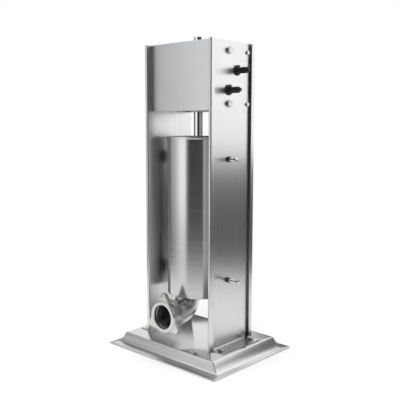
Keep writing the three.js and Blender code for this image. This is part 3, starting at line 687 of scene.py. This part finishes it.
def piston():
    """Moulded body, lip seal in its groove, domed plate on top and the nut below."""
    base = low("piston_body").z / MM
    seal = low("piston_seal").z / MM
    plate = low("piston_plate").z / MM
    top = high("piston_plate").z / MM
    bm = bmesh.new()
    body = [(7.2, base + 10), (14.4, base + 10), (15, base + 9.4), (15, base + 0.8), (15.8, base),
            (60.5, base), (63.6, base + 0.8), (65.6, base + 2.6), (66.3, base + 5), (66.5, seal - 0.9),
            (66.1, seal - 0.3), (58, seal - 0.3), (58, seal + 10.3), (7.2, seal + 10.3)]
    add_lathe(bm, "z", Vector(), body, 128, ring=True)
    finish_mesh("piston_body_moulded", bm, "piston", ["piston_body"], NYLON)
    bm = bmesh.new()
    lip = [(58.3, seal), (66.6, seal), (67.5, seal + 0.4), (68, seal + 1.6), (67.9, seal + 2.6),
           (67.3, seal + 3.8), (67.1, seal + 5), (67.3, seal + 6.2), (67.9, seal + 7.4),
           (68, seal + 8.4), (67.5, seal + 9.6), (66.6, seal + 10), (58.3, seal + 10)]
    add_lathe(bm, "z", Vector(), lip, 128, ring=True)
    finish_mesh("piston_seal_moulded", bm, "piston", ["piston_seal"], SILICONE)
    bm = bmesh.new()
    disc = [(7.2, plate), (66, plate), (66.5, plate + 0.5), (66.5, plate + 2.6), (65.8, plate + 3.6),
            (63.5, plate + 4.9), (30.5, plate + 5.9), (27.4, plate + 6.6), (26.4, top - 0.8),
            (25.4, top), (13, top), (12.2, top - 0.5), (7.2, top - 0.6)]
    add_lathe(bm, "z", Vector(), disc, 128, ring=True)
    finish_mesh("piston_plate_turned", bm, "piston", ["piston_plate"], BRIGHT)
    bm = bmesh.new()
    add_hex_head(bm, "z", Vector(), 22.0, high("piston_nut").z / MM, low("piston_nut").z / MM, True, 7.1)
    finish_mesh("piston_nut_hex", bm, "piston", ["piston_nut"], BRIGHT, 24)


def air_valve():
    """Mushroom valve that lets air out from under the piston."""
    a, b = low("air_valve").z / MM, high("air_valve").z / MM
    head = b - 4
    bm = bmesh.new()
    shape = [(2.4, a), (3, a + 0.6), (3, head), (6.6, head), (7, head + 0.4), (7, head + 1.4),
             (6.4, head + 2), (3.6, head + 2.1), (3, head + 2.6), (3, b - 0.5), (2.5, b)]
    add_lathe(bm, "z", axis_point("air_valve", "z"), shape, 48)
    finish_mesh("air_valve_turned", bm, "air_valve", ["air_valve"], BRIGHT)


def guide_bush(name):
    """Flanged bush that the rack bar slides in."""
    a, b = low(name) / MM, high(name) / MM
    bm = bmesh.new()
    shape = [(12.5, a.z), (20.4, a.z), (21, a.z + 0.6), (21, a.z + 2.2), (20.6, a.z + 2.7), (17, a.z + 2.7),
             (17, b.z - 0.5), (16.5, b.z), (12.6, b.z), (12.15, b.z - 0.5), (12.15, a.z + 0.4)]
    add_lathe(bm, "z", Vector(), shape, 96, ring=True)
    finish_mesh(f"{name}_turned", bm, "frame", [name], NYLON)


rack_bar()
piston()
air_valve()
guide_bush("guide_bush_lower")
guide_bush("guide_bush_upper")


# ------------------------------------------------------------------ cylinder and outlet
OUTLET_Y = -35.0  # where the elbow leaves the cylinder's floor
PIPE_R, PIPE_BORE_R = 27.0, 25.0
FLOOR_R = 68.0
OUTLET = axis_point("outlet_ferrule", "y")
OUTLET_Z = OUTLET.z / MM
TUBE_BOTTOM, TUBE_TOP = low("meat_cylinder").z / MM, high("meat_cylinder").z / MM
PIPE_TOP, PIPE_END = high("outlet_elbow").z / MM, low("outlet_elbow").y / MM
FERRULE_BACK, FERRULE_FRONT = high("outlet_ferrule").y / MM, low("outlet_ferrule").y / MM
NUT_BACK, NUT_FRONT = high("wing_nut").y / MM, low("wing_nut").y / MM


def meat_cylinder():
    """Thin wall with a groove at the foot and a rolled bead at the mouth, and its floor."""
    bm = bmesh.new()
    base, top = TUBE_BOTTOM, TUBE_TOP
    shape = [(67.6, base), (69.2, base + 0.15), (69.9, base + 0.8), (70.0, base + 1.6), (70.0, base + 3.2),
             (69.7, base + 3.5), (69.7, base + 3.9), (70.0, base + 4.2), (70.0, top - 5.6), (70.3, top - 5.3),
             (71.7, top - 4.7), (72.4, top - 3.7), (72.6, top - 2.6), (72.3, top - 1.4), (71.5, top - 0.5),
             (70.5, top - 0.1), (69.8, top - 0.2), (69.2, top - 0.9), (69.2, base + 4.2), (68.6, base + 1.9),
             (67.0, base + 1.2)]
    add_lathe(bm, "z", Vector(), shape, 160, ring=True)
    finish_mesh("cylinder_wall", bm, "cylinder", ["meat_cylinder"], CYLINDER, 40)
    # The floor, with its outlet hole.
    bm = bmesh.new()
    for z in (base, base + 1.2):
        edges = []
        for radius, y in ((FLOOR_R, 0.0), (PIPE_BORE_R, OUTLET_Y)):
            ring = [bm.verts.new(Vector((0, y, z)) * MM + turned("z", radius * MM, 0, t))
                    for t in around(96)]
            edges += [bm.edges.new((ring[i], ring[(i + 1) % 96])) for i in range(96)]
        bmesh.ops.triangle_fill(bm, use_beauty=True, edges=edges)
    rim = [(PIPE_BORE_R, base), (PIPE_BORE_R, base + 1.2), (25.2, base + 1.2), (25.2, base)]
    add_lathe(bm, "z", Vector((0, OUTLET_Y, 0)) * MM, rim, 96, ring=True)
    finish_mesh("cylinder_floor", bm, "cylinder", [], CYLINDER, 40)


def elbow():
    """Quarter bend and short straight pipe, with the weld bead at the cylinder's floor."""
    bend = PIPE_TOP - OUTLET_Z
    path = [(OUTLET_Y - bend + bend * math.cos(t), PIPE_TOP - bend * math.sin(t), t)
            for t in (math.radians(90 * k / 28) for k in range(29))]
    corner = OUTLET_Y - bend
    path += [(corner + (PIPE_END - corner) * k / 4, OUTLET_Z, math.pi / 2) for k in range(1, 5)]
    bm = bmesh.new()
    skins = []
    for radius in (PIPE_R, PIPE_BORE_R):
        loops = []
        for y, z, t in path:
            out = Vector((0, math.cos(t), -math.sin(t)))
            loops.append([Vector((0, y, z)) * MM
                          + (Vector((math.cos(q), 0, 0)) + out * math.sin(q)) * radius * MM
                          for q in around(96)])
        skins.append(loops)
    add_loft(bm, skins[0] + skins[1][::-1], ring=True)
    finish_mesh("elbow_pipe", bm, "cylinder", ["outlet_elbow"], PIPE, 50)
    # Weld bead where the pipe meets the cylinder.
    weld = bmesh.new()
    loops = []
    for t in around(120):
        size = 1.0 + 0.12 * math.sin(t * 30)
        hub = Vector((27.2 * math.cos(t), OUTLET_Y + 27.2 * math.sin(t), PIPE_TOP - 0.9))
        out = Vector((math.cos(t), math.sin(t), 0))
        loops.append([(hub + (out * math.cos(q) + Vector((0, 0, math.sin(q)))) * size) * MM
                      for q in around(8)])
    add_loft(weld, loops, ring=True)
    finish_mesh("elbow_weld", weld, "cylinder", [], CAST)


THREAD_R, THREAD_DEPTH, THREAD_PITCH = 31.0, 1.1, 4.0


def ferrule():
    """Collar on the pipe's end, with the outer thread that the ring nut runs on."""
    middle, front, back = OUTLET, FERRULE_FRONT, FERRULE_BACK
    bm = bmesh.new()
    collar = [(27.3, back), (32.2, back), (33.0, back - 0.8), (33.0, back - 3.2),
              (32.2, back - 4.0), (30.2, back - 4.6)]
    add_lathe(bm, "y", middle, collar + [(27.3, back - 4.6)], 128, ring=True)
    rows = 56
    loops = []
    for k in range(rows + 1):
        y = back - 4.6 + (front - back + 4.6) * k / rows
        fade = min(1.0, min(k, rows - k) / 6)
        ring = []
        for i in range(128):
            wave = 0.5 + 0.5 * math.cos(2 * math.pi * (y / THREAD_PITCH + i / 128))
            r = THREAD_R - THREAD_DEPTH * (1 - fade * wave)
            ring.append(middle + turned("y", r * MM, y * MM, 2 * math.pi * i / 128))
        loops.append(ring)
    stop = PIPE_END - 0.3
    for radius, y in ((25.6, front), (PIPE_BORE_R, front + 0.6), (PIPE_BORE_R, stop), (27.3, stop),
                      (27.3, back - 4.6)):
        loops.append([middle + turned("y", radius * MM, y * MM, t) for t in around(128)])
    add_loft(bm, loops, ring=True)
    finish_mesh("ferrule_threaded", bm, "cylinder", ["outlet_ferrule"], CAST)


RING_R, EAR_R = 33.8, 50.0  # where the ears leave the ring, and how far they reach
EAR_TIP, EAR_SPREAD = 0.11, 0.58  # radians from an ear's middle to the ends of its straight flank
EARS = [math.radians(x) for x in (90, -30, -150)]


def ring_nut():
    """Cast ring with three rounded ears."""
    middle, back, front = OUTLET, NUT_BACK, NUT_FRONT
    bm = bmesh.new()
    shape = [(31.4, back), (33.6, back), (34.6, back - 0.6), (35.0, back - 1.6), (35.0, front + 2.6),
             (34.5, front + 1.3), (33.4, front + 0.4), (32.0, front), (28.0, front), (26.6, front + 0.25),
             (25.8, front + 1.0), (25.7, front + 4.0), (31.4, front + 4.0)]
    add_lathe(bm, "y", middle, shape, 144, ring=True)
    tip_u, tip_v = EAR_R * math.cos(EAR_TIP), EAR_R * math.sin(EAR_TIP)
    root_u, root_v = RING_R * math.cos(EAR_SPREAD), RING_R * math.sin(EAR_SPREAD)

    def reach(t, grow):
        """Outline of three ears whose straight flanks run out of the ring."""
        best = RING_R
        for ear in EARS:
            d = abs(math.atan2(math.sin(t - ear), math.cos(t - ear)))
            if d < EAR_SPREAD:
                cross = (tip_u - root_u) * math.sin(d) + (root_v - tip_v) * math.cos(d)
                flank = (tip_u * root_v - tip_v * root_u) / cross
                best = max(best, (flank ** -40 + (EAR_R / math.cos(d)) ** -40) ** (-1 / 40))
        return best + grow

    def at(r, t, along):
        return middle + Vector((r * math.cos(t), along, r * math.sin(t))) * MM

    depth = (back - front) / 2
    mid = (back + front) / 2
    rows = [(-1.6, -depth + 2.5), (-0.7, -depth + 2.8), (-0.2, -depth + 3.4), (0, -depth + 4.4),
            (0, depth - 4.4), (-0.2, depth - 3.4), (-0.7, depth - 2.8), (-1.6, depth - 2.5)]
    angles = around(360)
    loops = [[at(reach(t, grow), t, mid + offset) for t in angles] for grow, offset in rows]
    # The inner side of the ears' band, hidden in the ring.
    loops += [[at(31.8, t, mid + offset) for t in angles] for offset in (depth - 2.6, 2.6 - depth)]
    add_loft(bm, loops, ring=True)
    finish_mesh("ring_nut_cast", bm, "ring_nut", ["wing_nut"], CAST, 45)


def outlet_seal():
    """Flat ring that the nut presses on the ferrule."""
    back, front = FERRULE_FRONT - 0.3, FERRULE_FRONT - 1.5
    bm = bmesh.new()
    shape = [(25.8, back), (29.6, back), (30, back - 0.3), (30, front + 0.3), (29.6, front),
             (25.8, front)]
    add_lathe(bm, "y", OUTLET, shape, 96, ring=True)
    finish_mesh("outlet_seal_ring", bm, "outlet_seal", ["outlet_seal"], RUBBER)


meat_cylinder()
elbow()
ferrule()
ring_nut()
outlet_seal()


# ------------------------------------------------------------------ studio
# What the steel reflects, by direction in degrees from +X towards +Y: a room with a
# window on the front left, dark on the camera's side, and white behind the object.
ROOM_RADIUS, ROOM_TOP = 0.8, 2.6
ROOM_LIGHT = [(-180, 0.22), (-172, 0.20), (-160, 0.42), (-136, 0.66), (-125, 0.95), (-112, 1.25),
              (-97, 1.2), (-88, 0.22), (-78, 0.05), (-50, 0.06), (-15, 0.10), (5, 0.12), (25, 0.13),
              (75, 0.12), (105, 0.15), (130, 0.22), (180, 0.22)]
# Above WALL_EDGE the wall on the right is white, and above BACK_EDGE the wall behind.
WALL_LIGHT = [(-180, 0.0), (-8, 0.0), (8, 1.0), (105, 1.0), (118, 0.0), (180, 0.0)]
BACK_LIGHT = [(-180, 0.0), (105, 0.0), (118, 1.0), (166, 1.0), (178, 0.0), (180, 0.0)]
BACK_EDGE = 0.16
WALL_EDGE = 0.385


def ramp(tree, value, stops):
    """Light by direction: value runs from 0 to 1 once round, stops are (degrees, light)."""
    made = tree.nodes.new("ShaderNodeValToRGB")
    points = made.color_ramp.elements
    while len(points) < len(stops):
        points.new(0.5)
    top = max(level for _, level in stops)
    for point, (angle, _) in zip(points, stops):
        point.position = angle / 360 + 0.5
    for point, (_, level) in zip(points, stops):
        point.color = (level / top, level / top, level / top, 1)
    tree.links.new(value, made.inputs["Fac"])
    scaled = tree.nodes.new("ShaderNodeMath")
    scaled.operation = "MULTIPLY"
    scaled.inputs[1].default_value = top
    tree.links.new(made.outputs["Color"], scaled.inputs[0])
    return scaled.outputs[0]


def math_node(tree, operation, a, b):
    """A Math node on two values, each a number or a socket."""
    made = tree.nodes.new("ShaderNodeMath")
    made.operation = operation
    for socket, value in zip(made.inputs, (a, b)):
        if isinstance(value, (int, float)):
            socket.default_value = value
        else:
            tree.links.new(value, socket)
    return made.outputs[0]


def graded(tree, value, from_low, from_high, to_low, to_high):
    """A smooth step from to_low to to_high while value runs through its range."""
    made = tree.nodes.new("ShaderNodeMapRange")
    made.interpolation_type = "SMOOTHSTEP"
    ends = (("From Min", from_low), ("From Max", from_high), ("To Min", to_low), ("To Max", to_high))
    for key, number in ends:
        made.inputs[key].default_value = number
    tree.links.new(value, made.inputs["Value"])
    return made.outputs["Result"]


def room():
    """A round wall that only shows in the steel."""
    made = bpy.data.materials.new("room_light")
    made.use_nodes = True
    tree = made.node_tree
    tree.nodes.clear()
    coords = tree.nodes.new("ShaderNodeTexCoord")
    split = tree.nodes.new("ShaderNodeSeparateXYZ")
    tree.links.new(coords.outputs["Object"], split.inputs[0])
    angle = math_node(tree, "ARCTAN2", split.outputs["Y"], split.outputs["X"])
    bearing = math_node(tree, "ADD", math_node(tree, "DIVIDE", angle, 2 * math.pi), 0.5)
    height = split.outputs["Z"]

    def band(stops, *step):
        return math_node(tree, "MULTIPLY", ramp(tree, bearing, stops), graded(tree, height, *step))

    sides = band(ROOM_LIGHT, 0.0, 0.3, 0.42, 1.0)
    wall = band(WALL_LIGHT, WALL_EDGE - 0.012, WALL_EDGE + 0.012, 0, 1.3)
    back = band(BACK_LIGHT, BACK_EDGE - 0.02, BACK_EDGE + 0.02, 0, 1)
    brightest = math_node(tree, "MAXIMUM", math_node(tree, "MAXIMUM", sides, wall), back)
    light = tree.nodes.new("ShaderNodeEmission")
    tree.links.new(brightest, light.inputs["Strength"])
    out = tree.nodes.new("ShaderNodeOutputMaterial")
    tree.links.new(light.outputs[0], out.inputs["Surface"])
    bm = bmesh.new()
    count = 144
    angles = [2 * math.pi * (i + 0.5) / count for i in range(count)]
    loops = [[Vector((ROOM_RADIUS * math.cos(t), ROOM_RADIUS * math.sin(t), z)) for t in angles]
             for z in (0.001, ROOM_TOP)]
    add_loft(bm, loops, caps=False)
    data = bpy.data.meshes.new("room")
    bm.to_mesh(data)
    bm.free()
    data.materials.append(made)
    shell = bpy.data.objects.new("room", data)
    bpy.context.scene.collection.objects.link(shell)
    shell.visible_camera = shell.visible_diffuse = shell.visible_transmission = shell.visible_shadow = False


def floor():
    """Pale plain floor."""
    data = bpy.data.meshes.new("studio_floor")
    size = 30.0
    corners = [(-size, -size, 0), (size, -size, 0), (size, size, 0), (-size, size, 0)]
    data.from_pydata(corners, [], [(0, 1, 2, 3)])
    made = bpy.data.materials.new("studio_floor")
    made.use_nodes = True
    tree = made.node_tree
    shader = tree.nodes["Principled BSDF"]
    shader.inputs["Base Color"].default_value = (0.93, 0.93, 0.93, 1)
    shader.inputs["Roughness"].default_value = 0.7
    shader.inputs["Specular IOR Level"].default_value = 0.1
    # Far from the object the floor turns into the white of the background.
    coords = tree.nodes.new("ShaderNodeTexCoord")
    reach = tree.nodes.new("ShaderNodeVectorMath")
    reach.operation = "LENGTH"
    tree.links.new(coords.outputs["Object"], reach.inputs[0])
    fade = tree.nodes.new("ShaderNodeMapRange")
    fade.interpolation_type = "SMOOTHSTEP"
    fade.inputs["From Min"].default_value = 0.25
    fade.inputs["From Max"].default_value = 1.1
    tree.links.new(reach.outputs["Value"], fade.inputs["Value"])
    white = tree.nodes.new("ShaderNodeEmission")
    mix = tree.nodes.new("ShaderNodeMixShader")
    tree.links.new(fade.outputs["Result"], mix.inputs[0])
    tree.links.new(shader.outputs[0], mix.inputs[1])
    tree.links.new(white.outputs[0], mix.inputs[2])
    tree.links.new(mix.outputs[0], tree.nodes["Material Output"].inputs["Surface"])
    data.materials.append(made)
    plane = bpy.data.objects.new("studio_floor", data)
    bpy.context.scene.collection.objects.link(plane)


def lamp(name, location, aim, size, power):
    """Soft square lamp that isn't mirrored in the steel."""
    data = bpy.data.lights.new(name, "AREA")
    data.shape, data.size, data.energy = "SQUARE", size, power
    made = bpy.data.objects.new(name, data)
    made.location = location
    made.rotation_euler = (Vector(aim) - Vector(location)).to_track_quat("-Z", "Y").to_euler()
    made.visible_glossy = False
    bpy.context.scene.collection.objects.link(made)


def studio():
    floor()
    world = bpy.data.worlds.new("studio")
    bpy.context.scene.world = world
    world.use_nodes = True
    world.node_tree.nodes["Background"].inputs["Color"].default_value = (1, 1, 1, 1)
    world.node_tree.nodes["Background"].inputs["Strength"].default_value = 1.0
    room()
    lamp("key", (1.6, -1.4, 2.4), (0, 0, 0.3), 1.6, 26)
    lamp("fill", (-1.8, -1.2, 1.6), (0, 0, 0.3), 1.8, 10)


def camera():
    """Seen from the front right, a little above the middle of the object."""
    data = bpy.data.cameras.new("camera")
    data.lens, data.sensor_width = 55.18, 36.0
    made = bpy.data.objects.new("camera", data)
    made.location = (0.91666, -0.98728, 0.49663)
    yaw, tip, roll = math.radians(42.79), math.radians(83.1), 0.0017
    turn = Matrix.Rotation(yaw, 3, "Z") @ Matrix.Rotation(tip, 3, "X") @ Matrix.Rotation(roll, 3, "Z")
    made.rotation_euler = turn.to_euler()
    bpy.context.scene.collection.objects.link(made)
    bpy.context.scene.camera = made


studio()
camera()
bpy.context.scene.view_settings.view_transform = "Standard"
